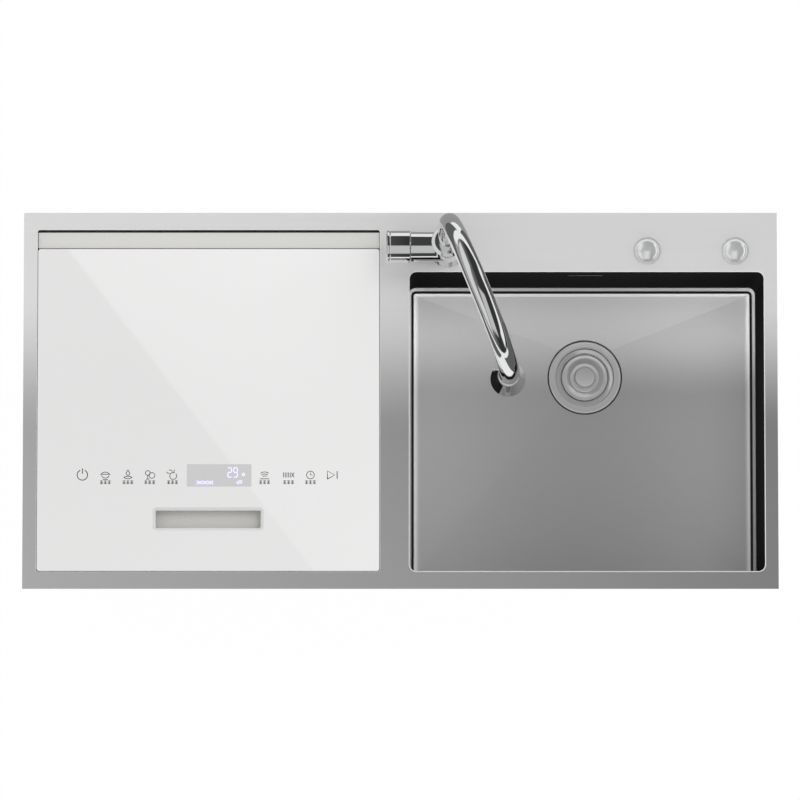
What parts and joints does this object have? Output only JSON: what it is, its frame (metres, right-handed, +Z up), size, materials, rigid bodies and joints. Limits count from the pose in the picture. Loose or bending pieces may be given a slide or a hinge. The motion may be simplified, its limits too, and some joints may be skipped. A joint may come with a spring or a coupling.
{
  "type": "kitchen sink with built-in dishwasher",
  "caption": "Steel drop-in sink: square bowl with drain and swan-neck tap on the right, lidded top-loading dishwasher on the left.",
  "frame": {"origin": "centre of the rim's underside, in the plane of the worktop's top", "axes": "+X to the right along the unit's length, +Y to the back where the tap is, +Z up"},
  "size_m": [0.9, 0.459, 0.816],
  "materials": {
    "brushed_stainless": "brushed",
    "polished_stainless": "polished",
    "satin_stainless": "satin",
    "chrome_plate": "polished",
    "white_glass": "gloss, colour-backed",
    "warm_grey_plastic": "matte",
    "display_grey": "gloss",
    "green_board": "solder mask",
    "grey_foam": "closed-cell foam",
    "black_rubber": "matte",
    "white_plastic": "matte",
    "grey_plastic": "matte",
    "dark_plastic": "matte",
    "zinc_steel": "zinc plated",
    "galvanised_steel": "galvanised sheet",
    "brass_nut": "machined",
    "coated_wire": "nylon-coated"
  },
  "bodies": {
    "base": {"deck_panel": "brushed_stainless", "rim_seal": "grey_foam", "rim_clips": "zinc_steel", "clip_screws": "zinc_steel", "sink_bowl": "brushed_stainless", "bowl_mats": "black_rubber", "overflow_elbow": "white_plastic", "overflow_pipe": "white_plastic", "drain_flange": "polished_stainless", "drain_locknut": "white_plastic", "drain_body": "white_plastic", "faucet_base": "chrome_plate", "faucet_body": "chrome_plate", "faucet_cartridge": "dark_plastic", "hole_caps": "chrome_plate", "deck_nuts": "brass_nut", "hinge_brackets": "zinc_steel", "lid_dampers": "dark_plastic", "hinge_cover": "warm_grey_plastic", "tub": "satin_stainless", "tub_seal": "black_rubber", "sump": "dark_plastic", "filter_plate": "satin_stainless", "spray_hub": "grey_plastic", "wash_pump": "dark_plastic", "drain_pump": "dark_plastic", "drain_pipe": "grey_plastic", "inlet_valve": "white_plastic", "power_gland": "dark_plastic", "control_box": "grey_plastic", "casing_sides": "galvanised_steel", "casing_front_panel": "galvanised_steel", "casing_back_panel": "galvanised_steel", "base_tray": "dark_plastic", "drain_tail": "white_plastic", "overflow_arm": "white_plastic"},
    "lid": {"lid_glass": "white_glass", "lid_frame": "warm_grey_plastic", "lid_liner": "satin_stainless", "grip_cup": "warm_grey_plastic", "display_window": "display_grey", "touch_board": "green_board", "hinge_arms": "zinc_steel", "hinge_pins": "zinc_steel"},
    "spout": {"faucet_spout": "chrome_plate", "faucet_collar": "chrome_plate", "faucet_aerator": "chrome_plate"},
    "knob": {"faucet_knob": "chrome_plate"},
    "basket": {"strainer_basket": "polished_stainless"},
    "stopper": {"drain_stopper": "polished_stainless"},
    "spray_rotor": {"spray_arm": "grey_plastic"},
    "rack": {"rack_base": "coated_wire", "rack_sides": "coated_wire", "rack_tines": "coated_wire", "rack_feet": "coated_wire", "cutlery_basket": "grey_plastic"},
    "filter": {"filter_cup": "grey_plastic"},
    "impeller": {"wash_impeller": "white_plastic"},
    "float": {"tub_float": "grey_plastic"}
  },
  "joints": [
    {"name": "lid_hinge", "type": "hinge", "parent": "base", "child": "lid", "pos_m": [-0.229, 0.191, -0.008], "axis": [-1, 0, 0], "range_deg": [0, 85]},
    {"name": "spout_swivel", "type": "hinge", "parent": "base", "child": "spout", "pos_m": [0.056, 0.1792, 0.105], "axis": [0, 0, 1], "continuous": true},
    {"name": "knob_turn", "type": "hinge", "parent": "base", "child": "knob", "pos_m": [0.0122, 0.1792, 0.049], "axis": [-1, 0, 0], "range_deg": [0, 120]},
    {"name": "basket_lift", "type": "slide", "parent": "base", "child": "basket", "axis": [0, 0, 1], "range_m": [0, 0.06]},
    {"name": "stopper_lift", "type": "slide", "parent": "basket", "child": "stopper", "axis": [0, 0, 1], "range_m": [0, 0.008]},
    {"name": "spray_spin", "type": "hinge", "parent": "base", "child": "spray_rotor", "pos_m": [-0.229, -0.0195, -0.2775], "axis": [0, 0, 1], "continuous": true},
    {"name": "rack_lift", "type": "slide", "parent": "base", "child": "rack", "axis": [0, 0, 1], "range_m": [0, 0.1]},
    {"name": "filter_turn", "type": "hinge", "parent": "base", "child": "filter", "pos_m": [-0.301, -0.0195, -0.2985], "axis": [0, 0, 1], "range_deg": [0, 45]},
    {"name": "impeller_spin", "type": "hinge", "parent": "base", "child": "impeller", "pos_m": [-0.229, -0.0195, -0.374], "axis": [1, 0, 0], "continuous": true},
    {"name": "float_lift", "type": "slide", "parent": "base", "child": "float", "axis": [0, 0, 1], "range_m": [0, 0.01]}
  ]
}
